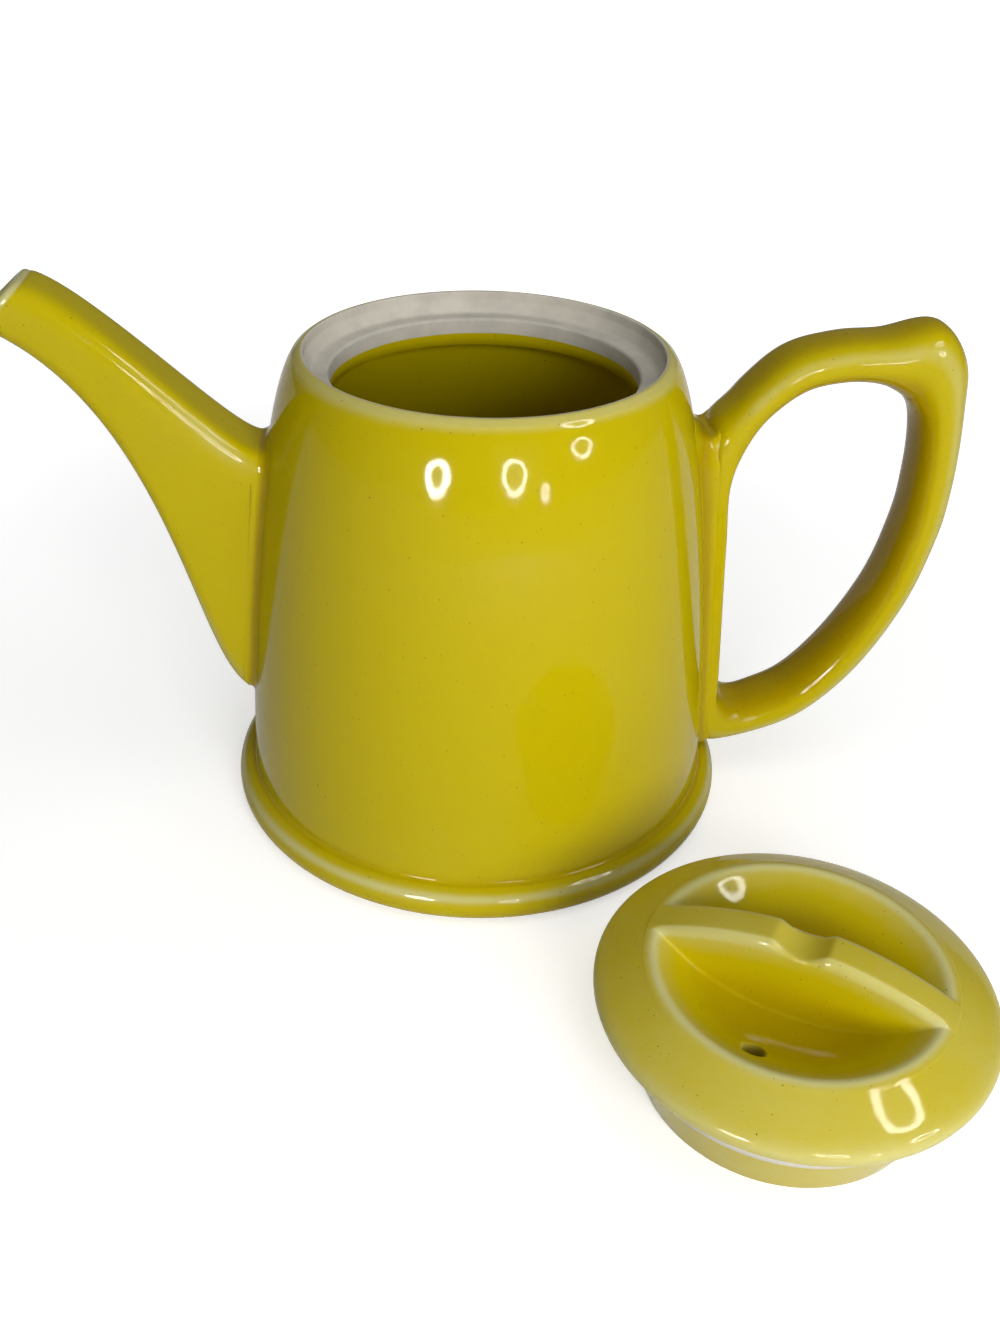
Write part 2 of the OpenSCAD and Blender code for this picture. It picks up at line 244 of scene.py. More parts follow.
def closed_spline(points, distance, count):
    """The periodic cubic spline through the rows of points, even along the given distances between
    them. Its second derivatives M solve h0 M0 + 2 (h0 + h1) M1 + h1 M2 = 6 (slope1 - slope0)."""
    n = len(points)
    h, before = distance, np.roll(distance, 1)
    slope = (np.roll(points, -1, axis=0) - points) / h[:, None]
    matrix = np.diag(2 * (h + before))
    k = np.arange(n)
    matrix[k, (k - 1) % n] += before
    matrix[k, (k + 1) % n] += h
    bend = np.linalg.solve(matrix, 6 * (slope - np.roll(slope, 1, axis=0)))
    run = np.concatenate([[0.0], np.cumsum(h)])
    place = np.arange(count) / count * run[-1]
    i = np.clip(np.searchsorted(run, place, side="right") - 1, 0, n - 1)
    j, b = (i + 1) % n, ((place - run[i]) / h[i])[:, None]
    a, hh = 1 - b, (h[i] ** 2)[:, None] / 6
    return a * points[i] + b * points[j] + ((a**3 - a) * bend[i] + (b**3 - b) * bend[j]) * hh


def bezier(points, t):
    a, b, c, d = (np.asarray(q, float)[None] for q in points)
    t = t[:, None]
    return a * (1 - t) ** 3 + 3 * b * t * (1 - t) ** 2 + 3 * c * t * t * (1 - t) + d * t**3


def ring_section(power, count):
    """A superellipse |x|^p + |y|^p = 1, as count points evenly spaced along it."""
    angle = np.linspace(0.0, 2.0 * math.pi, 2881)
    x, y = signed_power(np.cos(angle), 2.0 / power), signed_power(np.sin(angle), 2.0 / power)
    run = np.concatenate([[0.0], np.cumsum(np.hypot(np.diff(x), np.diff(y)))])
    even_run = np.arange(count) / count * run[-1]
    return np.interp(even_run, run, x), np.interp(even_run, run, y)


def grid_quads(rows, columns, wrap_rows, wrap_columns, first=0):
    """Quads over a grid of vertices numbered row by row."""
    r = np.arange(rows if wrap_rows else rows - 1)[:, None]
    c = np.arange(columns if wrap_columns else columns - 1)[None, :]
    r2, c2 = (r + 1) % rows, (c + 1) % columns
    quads = np.stack([r * columns + c, r * columns + c2, r2 * columns + c2, r2 * columns + c], axis=-1)
    return quads.reshape(-1, 4) + first


class Skin:
    """Vertices, faces and attributes of glaze, painted shade and highlights and bare china, that grow patch
    by patch into one mesh.
    """

    def __init__(self):
        self.verts, self.faces, self.glaze, self.bare, self.count = [], [], [], [], 0

    def patch(self, points, glaze=0.0, bare=0.0, wrap_rows=False, wrap_columns=False):
        rows, columns = points.shape[:2]
        self.faces.append(grid_quads(rows, columns, wrap_rows, wrap_columns, self.count))
        self.verts.append(points.reshape(-1, 3))
        self.glaze.append(np.broadcast_to(glaze, (rows, columns)).reshape(-1))
        self.bare.append(np.broadcast_to(bare, (rows, columns)).reshape(-1))
        self.count += rows * columns

    def build(self, name, body, slot, material, *nodes):
        verts = np.concatenate(self.verts) * MM
        mesh = bpy.data.meshes.new(name)
        mesh.from_pydata(verts.tolist(), [], np.concatenate(self.faces).tolist())
        for label, values in (("glaze_depth", self.glaze), ("bare_china", self.bare)):
            layer = mesh.attributes.new(label, "FLOAT", "POINT")
            layer.data.foreach_set("value", np.concatenate(values).astype(np.float32))
        work = bmesh.new()
        work.from_mesh(mesh)
        bmesh.ops.remove_doubles(work, verts=work.verts, dist=1e-6)
        bmesh.ops.dissolve_degenerate(work, edges=work.edges, dist=1e-7)
        bmesh.ops.recalc_face_normals(work, faces=work.faces)
        work.to_mesh(mesh)
        work.free()
        mesh.shade_smooth()
        mesh.materials.append(material)
        piece = bpy.data.objects.new(name, mesh)
        bpy.context.scene.collection.objects.link(piece)
        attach(piece, body)
        if nodes:
            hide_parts(*nodes)
        return piece


def revolve(line, angles):
    """Points (r cos a, r sin a, z) for each (r, z) of the line and each angle a."""
    return np.stack(
        [
            line[:, :1] * np.cos(angles)[None],
            line[:, :1] * np.sin(angles)[None],
            np.broadcast_to(line[:, 1:], (len(line), len(angles))),
        ],
        axis=-1,
    )


def cut(piece, cutter):
    """Takes the closed shape cutter out of piece, and deletes cutter."""
    step = piece.modifiers.new("cut", "BOOLEAN")
    step.operation, step.solver, step.object = "DIFFERENCE", "EXACT", cutter
    view = bpy.context.evaluated_depsgraph_get()
    mesh = bpy.data.meshes.new_from_object(piece.evaluated_get(view))
    old = piece.data
    piece.modifiers.clear()
    piece.data = mesh
    mesh.name = old.name
    bpy.data.meshes.remove(old)
    spent = cutter.data
    bpy.data.objects.remove(cutter)
    bpy.data.meshes.remove(spent)


def plain_object(name, points, wrap_columns=True):
    """A closed tool shape from a grid of points whose first and last rows shut to a point."""
    mesh = bpy.data.meshes.new(name)
    flat, faces, first = [], [], 0
    for part in points if points.ndim == 4 else points[None]:
        flat.append(part.reshape(-1, 3))
        faces.append(grid_quads(part.shape[0], part.shape[1], False, wrap_columns, first))
        first += part.shape[0] * part.shape[1]
    mesh.from_pydata((np.concatenate(flat) * MM).tolist(), [], np.concatenate(faces).tolist())
    work = bmesh.new()
    work.from_mesh(mesh)
    bmesh.ops.remove_doubles(work, verts=work.verts, dist=1e-6)
    bmesh.ops.dissolve_degenerate(work, edges=work.edges, dist=1e-7)
    bmesh.ops.recalc_face_normals(work, faces=work.faces)
    work.to_mesh(mesh)
    work.free()
    tool = bpy.data.objects.new(name, mesh)
    bpy.context.scene.collection.objects.link(tool)
    return tool


# ---- shapes shared by the pieces ---------------------------------------------------------------

DOME_P, DOME_Q = 1.4, 0.55


def wall_radius(z, pot):
    """Radius of the pot's wall at height z: a cone that domes in, rim + (foot - rim)(1 - t^p)^q."""
    t = np.clip((z - pot.flange_t) / (pot.rim_z - pot.flange_t), 0.0, 1.0)
    return pot.rim_r + (pot.wall_foot_r - pot.rim_r) * (1.0 - t**DOME_P) ** DOME_Q


def root_x(z, gap, pot, root):
    """Distance from the axis to a root's back plane at height z, on the line through both gaps."""
    low = wall_radius(root.clear_z, pot) + root.clear
    top = wall_radius(root.top_z, pot) + gap
    return low + (top - low) * (z - root.clear_z) / (root.top_z - root.clear_z)


# ---- materials ---------------------------------------------------------------------------------


def glaze_material(name, seed):
    """Glossy glaze, paler where it is thin and where highlights are painted, deeper where it pools and where
    shade is painted, over bare matt china.
    """
    tints = settings().colours
    material = bpy.data.materials.new(name)
    material.use_nodes = True
    tree = material.node_tree
    nodes, links = tree.nodes, tree.links
    nodes.clear()
    out = nodes.new("ShaderNodeOutputMaterial")
    place = nodes.new("ShaderNodeTexCoord")
    shift = nodes.new("ShaderNodeMapping")
    shift.inputs["Location"].default_value = (seed, 0.7 * seed, 1.3 * seed)
    links.new(place.outputs["Object"], shift.inputs["Vector"])

    def noise(scale, detail, rough=0.5):
        node = nodes.new("ShaderNodeTexNoise")
        node.inputs["Scale"].default_value = scale
        node.inputs["Detail"].default_value = detail
        node.inputs["Roughness"].default_value = rough
        links.new(shift.outputs["Vector"], node.inputs["Vector"])
        return node.outputs["Fac"]

    def math_node(operation, a, b=None, c=None):
        node = nodes.new("ShaderNodeMath")
        node.operation = operation
        for slot, value in zip(node.inputs, (a, b, c)):
            if isinstance(value, (int, float)):
                slot.default_value = value
            elif value is not None:
                links.new(value, slot)
        return node.outputs[0]

    def mix(fac, a, b):
        node = nodes.new("ShaderNodeMix")
        node.data_type = "RGBA"
        links.new(fac, node.inputs[0])
        for slot, value in ((node.inputs[6], a), (node.inputs[7], b)):
            if hasattr(value, "links"):
                links.new(value, slot)
            else:
                slot.default_value = (*value, 1.0)
        return node.outputs[2]

    def ramp(value, low, high):
        node = nodes.new("ShaderNodeMapRange")
        node.interpolation_type = "SMOOTHSTEP"
        node.inputs["From Min"].default_value = low
        node.inputs["From Max"].default_value = high
        links.new(value, node.inputs["Value"])
        return node.outputs["Result"]

    # The glaze depth also carries painted shade and painted highlights, set per point by the pieces.
    depth = nodes.new("ShaderNodeAttribute")
    depth.attribute_name = "glaze_depth"
    bare = nodes.new("ShaderNodeAttribute")
    bare.attribute_name = "bare_china"
    cloud = math_node("SUBTRACT", noise(28.0, 3.0), 0.5)
    mottle = math_node("SUBTRACT", noise(420.0, 4.0, 0.65), 0.5)
    level = math_node("MULTIPLY_ADD", cloud, 0.5, depth.outputs["Fac"])
    level = math_node("MULTIPLY_ADD", mottle, 0.16, level)
    pale_and_lit_tone = mix(ramp(math_node("MULTIPLY", level, -1.0), 0.0, 1.0), tuple(tints.glaze), tuple(tints.thin))
    tone = mix(ramp(level, 0.0, 1.0), pale_and_lit_tone, tuple(tints.pooled))
    speck = ramp(noise(1500.0, 1.0), 0.755, 0.80)
    tone = mix(speck, tone, tuple(0.35 * c for c in tints.pooled))

    glaze = nodes.new("ShaderNodeBsdfPrincipled")
    links.new(tone, glaze.inputs["Base Color"])
    glaze.inputs["Roughness"].default_value = tints.roughness
    glaze.inputs["IOR"].default_value = 1.5
    glaze.inputs["Specular IOR Level"].default_value = 0.13
    bump = nodes.new("ShaderNodeBump")
    bump.inputs["Strength"].default_value = 0.06
    bump.inputs["Distance"].default_value = 0.0004
    links.new(math_node("MULTIPLY_ADD", noise(45.0, 1.0), 2.0, noise(260.0, 2.0)), bump.inputs["Height"])
    links.new(bump.outputs["Normal"], glaze.inputs["Normal"])

    china = nodes.new("ShaderNodeBsdfPrincipled")
    dust = mix(
        ramp(noise(90.0, 4.0, 0.6), 0.35, 0.75), tuple(tints.bare), tuple(0.82 * c for c in tints.bare)
    )
    links.new(dust, china.inputs["Base Color"])
    china.inputs["Roughness"].default_value = 0.75
    china.inputs["Specular IOR Level"].default_value = 0.25

    edge = math_node("MULTIPLY_ADD", cloud, 0.35, bare.outputs["Fac"])
    both = nodes.new("ShaderNodeMixShader")
    links.new(ramp(edge, 0.46, 0.54), both.inputs["Fac"])
    links.new(glaze.outputs[0], both.inputs[1])
    links.new(china.outputs[0], both.inputs[2])
    links.new(both.outputs[0], out.inputs["Surface"])
    return material


# ---- pieces ------------------------------------------------------------------------------------


class MESH_OT_teapot_body(bpy.types.Operator):
    """Turns the pot's profile, cuts the strainer through its wall and adds the necks of the roots"""

    bl_idname = "mesh.teapot_body"
    bl_label = "Pot Body"

    def execute(self, context):
        pot, root = Sizes(settings().pot), Sizes(settings().root)
        skin = Skin()
        foot, floor = 2.5, 2.5 + pot.wall
        inner_r = pot.rim_r - pot.lip_w
        seat_z = pot.rim_z - pot.seat_drop
        bead = pot.flange_t / 2
        bead_r = pot.flange_r - bead - 0.01
        turn = np.radians(np.arange(-90.0, 79.0, 7.0))
        outside = np.concatenate(
            [
                rounded([(0, foot), (50.7, foot), (53.2, 0.0), (bead_r - 1.0, 0.0)], (0.6, 0.5)),
                np.stack([bead_r + bead * np.cos(turn), bead + bead * np.sin(turn)], axis=1),
            ]
        )
        share = 1 - (1 - np.linspace(0.012, 1, 110)) ** 2
        heights = pot.flange_t + (pot.rim_z - 1.0 - pot.flange_t) * share
        wall = np.stack([wall_radius(heights, pot), heights], axis=1)
        crease = rounded([outside[-1], (pot.wall_foot_r + 0.05, pot.flange_t + 0.15), wall[2]], (1.2,))
        lip = rounded(
            [wall[-2], (pot.rim_r + 0.1, pot.rim_z), (inner_r, pot.rim_z), (inner_r, pot.rim_z - 2.2),
             (inner_r - 1.6, seat_z), (pot.throat_r, seat_z), (pot.throat_r, seat_z - pot.throat_l)],
            (1.2, 0.4, 1.2, 1.4, 0.9),
        )
        corner = 12.0
        lower = np.linspace(seat_z - pot.throat_l - pot.wall, floor + corner, 60)
        shell = np.stack([wall_radius(lower, pot) - pot.wall, lower], axis=1)
        arc = np.radians(np.arange(0.0, 91.0, 9.0))
        bottom_r = shell[-1, 0] - corner
        bottom = np.stack([bottom_r + corner * np.cos(arc), floor + corner * (1 - np.sin(arc))], axis=1)
        line = np.concatenate([outside, crease[1:-1], wall[2:-2], lip[1:], shell, bottom[1:], [[0.0, floor]]])
        line = even(line, 2.2)
        r, z = line[:, 0], line[:, 1]
        index = np.arange(len(line))
        top = int(np.argmax(z))
        is_outside = index <= top
        glaze = np.zeros(len(line))
        glaze += 0.5 * is_outside * np.exp(-(((z - pot.flange_t - 0.4) / 1.6) ** 2)) * (r < bead_r + 1.5)
        around = np.degrees(np.arctan2(z - bead, r - bead_r))
        # Painted highlight with thinner glaze: a pale band along the upper face of the flange's bead.
        glaze -= 0.75 * is_outside * np.exp(-(((around - 38.0) / 15.0) ** 2)) * (r > bead_r + 1.0)
        # Painted shade: the underside of the flange's bead is darkened towards the pooled colour.
        glaze += 0.35 * is_outside * smooth_step(5.0, -40.0, around) * (r > bead_r)
        glaze -= 0.6 * is_outside * smooth_step(pot.rim_z - 3.5, pot.rim_z - 0.4, z)
        glaze += 0.1 * ~is_outside
        bare = np.where(
            is_outside,
            np.where((z < 0.35) & (r > 40.0), 1.0, 0.0),
            smooth_step(seat_z - 4.6, seat_z - 3.2, z),
        )
        bare = np.where(~is_outside & (z > pot.rim_z - 0.25) & (r > inner_r + 0.4), 0.0, bare)
        angles = np.linspace(0.0, 2.0 * math.pi, 480, endpoint=False)
        skin.patch(revolve(line, angles), glaze[:, None], bare[:, None], wrap_columns=True)
        material = glaze_material("Pot glaze", 0.0)
        cut(skin.build("Pot_body", "pot", "pot_glaze", material, "pot_body"), self.strainer())
        necks = Skin()
        spout = Sizes(settings().spout)
        middle, half_h = (root.top_z + spout.low_z) / 2, (root.top_z - spout.low_z) / 2
        w, v = ring_section(7.0, 480)
        up = smooth_step(0.9, 1.0, v)
        down = smooth_step(-0.86, -1.0, v)
        y, z = w * (spout.root_w / 2 - 0.1), middle + v * (half_h - 0.1)
        lap = 1.5 - 1.3 * down
        spread = 2.2 + 0.5 * up
        ring, seam = self.collar(-1.0, y, z, lap, 0 * v, 0 * v, spread, root.spout_gap, pot, root)
        necks.patch(ring, seam, wrap_rows=True, wrap_columns=True)
        middle, half_h = (root.top_z + root.bar_low_z) / 2, (root.top_z - root.bar_low_z) / 2
        w, v = ring_section(11.0, 560)
        up = smooth_step(0.93, 1.0, v)
        down = smooth_step(-0.93, -1.0, v)
        narrow = 0.8 * smooth_step(0.88, 1.0, v)
        y, z = w * (root.bar_w / 2 - 0.1 - narrow), middle + v * (half_h - 0.1)
        lap = 1.5 - 0.3 * up - 1.3 * down
        deep = root_x(z, root.handle_gap, pot, root) - np.sqrt(wall_radius(z, pot) ** 2 - y**2)
        spread = np.where(v > 0.93, 5.2, 0.9 + 0.95 * deep) + 3.0 * up - 0.6 * down
        spread = np.convolve(np.concatenate([spread[-8:], spread, spread[:8]]), np.ones(17) / 17, "valid")
        ring, seam = self.collar(
            1.0, y, z, lap, 4.1 * up, -0.3 * up, spread, root.handle_gap, pot, root, 1.9 * up
        )
        necks.patch(ring, seam, wrap_rows=True, wrap_columns=True)
        necks.build("Root_necks", "pot", "pot_glaze", material)
        return {"FINISHED"}

    def collar(self, side, y, z, lap, lift, start, spread, gap, pot, root, proud=0.0):
        """A fillet round a root's outline (y, z). Each station is a quadratic curve
        A (1-t)^2 + 2 B t (1-t) + D t^2 from A on the root's side, by the corner B between root and
        dome, to D on the dome, spread away along the outline's normal. Hidden points close it."""
        step = np.stack([np.roll(y, -1) - np.roll(y, 1), np.roll(z, -1) - np.roll(z, 1)])
        step /= np.linalg.norm(step, axis=0)
        ny, nz = step[1], -step[0]

        def on_dome(away, sink):
            py, pz = y + ny * away, z + nz * away
            return np.stack([np.sqrt(wall_radius(pz, pot) ** 2 - py**2) - sink, py, pz], axis=-1)

        plane = root_x(z, gap, pot, root)
        a = np.stack([plane + lap, y, z + lift], axis=-1)
        b, d = on_dome(start, -proud), on_dome(spread, 0.06)
        depth = np.linalg.norm(a - b, axis=1)
        a_near = b + (a - b) * np.minimum(1.0, np.maximum(spread, 1.5) * 1.25 / depth)[:, None]
        t = np.linspace(0.0, 1.0, 16)[None, :, None]
        curve = a_near[:, None] * (1 - t) ** 2 + 2 * b[:, None] * t * (1 - t) + d[:, None] * t**2
        under_root = a - np.stack([0.2 + 0 * y, 0.9 * ny, 0.9 * nz], axis=-1)
        inside = np.stack([on_dome(spread, 1.2), on_dome(-1.4 + 0 * spread, 0.8), under_root], axis=1)
        ring = np.concatenate([a[:, None], curve, inside], axis=1)
        ring[..., 0] *= side
        seam = np.concatenate([[0.1], 0.1 + 0.75 * np.sin(np.pi * t[0, :, 0]) ** 2, [0.0, 0.0, 0.0]])
        return ring, seam[None]

    def strainer(self):
        """Three columns of round holes through the wall behind the spout, as short rods."""
        turn = np.linspace(0.0, 2.0 * math.pi, 24, endpoint=False)
        rods = []
        for row in range(7):
            for column in (-1, 0, 1):
                y0, z0 = 4.6 * column, 65.45 + 5.98 * (row - 3)
                radius = np.array([0.0, 1.6, 1.6, 0.0])[:, None]
                x = -np.array([46.0, 46.0, 63.0, 63.0])[:, None]
                rods.append(
                    np.stack(
                        [x + 0 * turn, y0 + radius * np.cos(turn), z0 + radius * np.sin(turn)], axis=-1
                    )
                )
        return plain_object("strainer rods", np.stack(rods))


class MESH_OT_teapot_spout(bpy.types.Operator):
    """Sweeps the spout's section from its root to its lip, then back inside as the pouring channel"""

    bl_idname = "mesh.teapot_spout"
    bl_label = "Spout"

    def execute(self, context):
        spout, root, pot = Sizes(settings().spout), Sizes(settings().root), Sizes(settings().pot)
        steps, around = 110, 120
        t = np.linspace(0.0, 1.0, steps)
        x_top = root_x(root.top_z, root.spout_gap, pot, root)
        x_low = root_x(spout.low_z, root.spout_gap, pot, root)
        dx, dz = spout.reach - x_low, spout.top_z - spout.low_z
        x_tip = spout.lip_slant - spout.reach
        top_line = [(-x_top, root.top_z), (-x_top - 0.13 * dx, root.top_z),
                    (x_tip + 0.24 * dx, spout.top_z - 0.03 * dz), (x_tip, spout.top_z)]
        low_line = [(-x_low, spout.low_z), (-x_low - 0.26 * dx, spout.low_z + 0.1 * dz),
                    (0.77 * dx - spout.reach, spout.top_z - 0.27 * dz),
                    (-spout.reach, spout.top_z - spout.lip_h)]
        wall = spout.wall + 1.5 * np.clip(1 - 7 * t, 0, 1)
        # The rings run out along the skin from the rounded root, over the lip and back inside.
        lip = np.linspace(0.0, math.pi, 9)[1:-1]
        edge = 1.1 * (1 - np.sin(np.linspace(0.0, 0.5 * math.pi, 6)))
        order = np.concatenate([np.linspace(0.0, 0.01, len(edge)), t[2:], np.ones(len(lip)), t[::-1]])
        inward = np.concatenate([edge, np.zeros(steps - 2), 0.5 * spout.wall * (1 - np.cos(lip)), wall[::-1]])
        back = 0.54 * smooth_step(0.955, 1.0, order)
        bulge = np.concatenate([np.zeros(len(edge) + steps - 2), np.sin(lip), np.zeros(steps)])
        forward = 0.42 * spout.wall * bulge - back
        upper, lower = bezier(top_line, order), bezier(low_line, order)
        middle = 0.5 * (upper + lower)
        reach = upper - lower
        half_h = 0.5 * np.linalg.norm(reach, axis=1)
        up = reach / (2 * half_h[:, None])
        ahead = np.stack([-up[:, 1], up[:, 0]], axis=1)
        half_w = 0.5 * (spout.root_w + (spout.tip_w - spout.root_w) * np.minimum(1.0, 1.4 * order))
        power = 7.0 - 3.4 * smooth_step(0.1, 1.0, order)
        section = np.array([np.stack(ring_section(p, around)) for p in power])
        v = section[:, 1] * (half_h - inward)[:, None]
        w = section[:, 0] * (half_w - inward)[:, None]
        x = middle[:, :1] + up[:, :1] * v + ahead[:, :1] * forward[:, None]
        z = middle[:, 1:] + up[:, 1:] * v + ahead[:, 1:] * forward[:, None]
        points = np.stack([x, w, z], axis=-1)
        outer = (np.arange(len(order)) < len(edge) + steps - 2 + len(lip))[:, None]
        corner = np.abs(section[:, 0] * section[:, 1])
        at_lip = smooth_step(0.985, 1.0, order)[:, None]
        glaze = np.where(outer, -0.9 * smooth_step(0.72, 0.92, corner) - 0.9 * at_lip, 0.4)
        glaze = glaze + 0.25 * smooth_step(0.3, 0.0, order)[:, None] * outer
        skin = Skin()
        skin.patch(points, glaze, wrap_rows=True, wrap_columns=True)
        skin.build("Spout", "pot", "spout_glaze", glaze_material("Spout glaze", 3.1), "spout")
        return {"FINISHED"}


class MESH_OT_teapot_handle(bpy.types.Operator):
    """Sweeps one closed ring of sections round the grip and down the upright bar behind the groove"""

    bl_idname = "mesh.teapot_handle"
    bl_label = "Handle"

    # How far along the reach and the height the centre line lies, and its extra half thickness
    # outwards and inwards in millimetres.
    ARM = (
        (0.1, 0.805, -0.5, -0.9), (0.2, 0.895, -1.0, -1.0), (0.35, 0.972, -0.5, -0.3), (0.53, 1.0, -0.2, 0.0),
        (0.7, 1.0, 0.8, 0.6), (0.84, 0.98, 6.0, 2.0), (0.92, 0.95, 3.6, 2.4), (0.975, 0.88, 0.5, 1.2),
        (0.995, 0.79, 0.0, 0.3), (1.0, 0.68, 0.0, 0.0), (0.985, 0.56, 0.0, -0.2), (0.91, 0.38, 0.0, -0.4),
        (0.76, 0.2, 0.0, 0.0), (0.57, 0.07, -0.3, -0.2), (0.37, 0.01, -0.3, 0.0), (0.2, -0.01, 0.0, 0.0),
    )

    def execute(self, context):
        handle, root, pot = Sizes(settings().handle), Sizes(settings().root), Sizes(settings().pot)
        around, count = 72, 300

        def back(z):
            return root_x(z, root.handle_gap, pot, root)

        def bar(z_out, z_in, power):
            thick = handle.bar_low_t + (handle.bar_high_t - handle.bar_low_t) * z_in / root.top_z
            return (back(z_out), z_out, back(z_in) + thick, z_in, root.bar_w / 2, power)

        arm = self.arm_rings(handle, root, pot)
        top = root.top_z
        foot = root.bar_low_z
        before = [bar(68.0, 68.0, 5.0), bar(79.0, 78.0, 5.0), bar(89.0, 85.5, 4.4),
                  (back(top - 3.0), top - 3.0, 61.6, top - 8.0, 10.3, 3.6),
                  (55.7, top + 3.0, 63.9, top - 2.2, 10.0, 3.0)]
        after = [(66.5, foot - 0.1, 68.4, 22.2, 9.9, 3.0), (62.9, foot + 0.5, 65.7, 24.4, 10.3, 3.6),
                 (back(17.0), 17.0, 64.5, 29.0, 10.5, 4.4), bar(32.0, 39.0, 5.0), bar(48.0, 50.0, 5.0)]
        rings = np.concatenate([np.array(before), arm, np.array(after)])
        centre = (rings[:, 0:2] + rings[:, 2:4]) / 2
        curve = closed_spline(rings, np.linalg.norm(np.roll(centre, -1, axis=0) - centre, axis=1), count)
        outer, inner = curve[:, 0:2], curve[:, 2:4]
        for _ in range(5):
            inner = (np.roll(inner, 1, axis=0) + 2 * inner + np.roll(inner, -1, axis=0)) / 4
        middle, half = (outer + inner) / 2, (outer - inner) / 2
        section = np.array([np.stack(ring_section(p, around)) for p in curve[:, 5]])
        x = middle[:, :1] + half[:, :1] * section[:, 1]
        z = middle[:, 1:] + half[:, 1:] * section[:, 1]
        w = curve[:, 4:5] * section[:, 0]
        points = np.stack([x, w, z], axis=-1)
        on_arm = smooth_step(60.0, 68.0, middle[:, 0])[:, None]
        around_ring = np.degrees(np.arctan2(section[:, 1], np.abs(section[:, 0])))
        # Painted highlight with thinner glaze: a pale line along the edges of the grip.
        thin_edge_and_highlight = np.exp(-(((around_ring - 24.0) / 20.0) ** 2))
        # Painted shade: the grip's outer face is darkened towards the pooled colour.
        outer_face_shade = smooth_step(0.7, 1.0, section[:, 1])
        glaze = 0.15 - thin_edge_and_highlight * (0.15 + 0.45 * on_arm) + 0.45 * outer_face_shade * on_arm
        # Painted shade: the grip's inner side, facing the finger gap, is darkened towards the pooled colour.
        glaze = glaze + 0.7 * smooth_step(-0.1, -0.8, section[:, 1]) * on_arm
        skin = Skin()
        skin.patch(points, glaze, wrap_rows=True, wrap_columns=True)
        skin.build("Handle", "pot", "handle_glaze", glaze_material("Handle glaze", 5.7), "handle")
        return {"FINISHED"}

    def arm_rings(self, handle, root, pot):
        """Rows of outer point, inner point, half width and roundness along the grip's centre line."""
        half_t = handle.thickness / 2
        x0 = wall_radius(root.top_z, pot) + 2.0
        arm = catmull(self.ARM, 4)
        across = x0 + arm[:, 0] * (handle.reach - 0.02 - half_t - x0)
        height = handle.low_z + arm[:, 1] * (handle.high_z - handle.low_z)
        middle = np.stack([across, height], axis=1)
        along = np.gradient(middle, axis=0)
        along /= np.linalg.norm(along, axis=1)[:, None]
        out = np.stack([-along[:, 1], along[:, 0]], axis=1)
        outer = middle + out * (half_t + arm[:, 2:3])
        inner = middle - out * (half_t + arm[:, 3:4])
        shape = np.tile([handle.width / 2, 2.35], (len(arm), 1))
        return np.column_stack([outer, inner, shape])[3:-5]


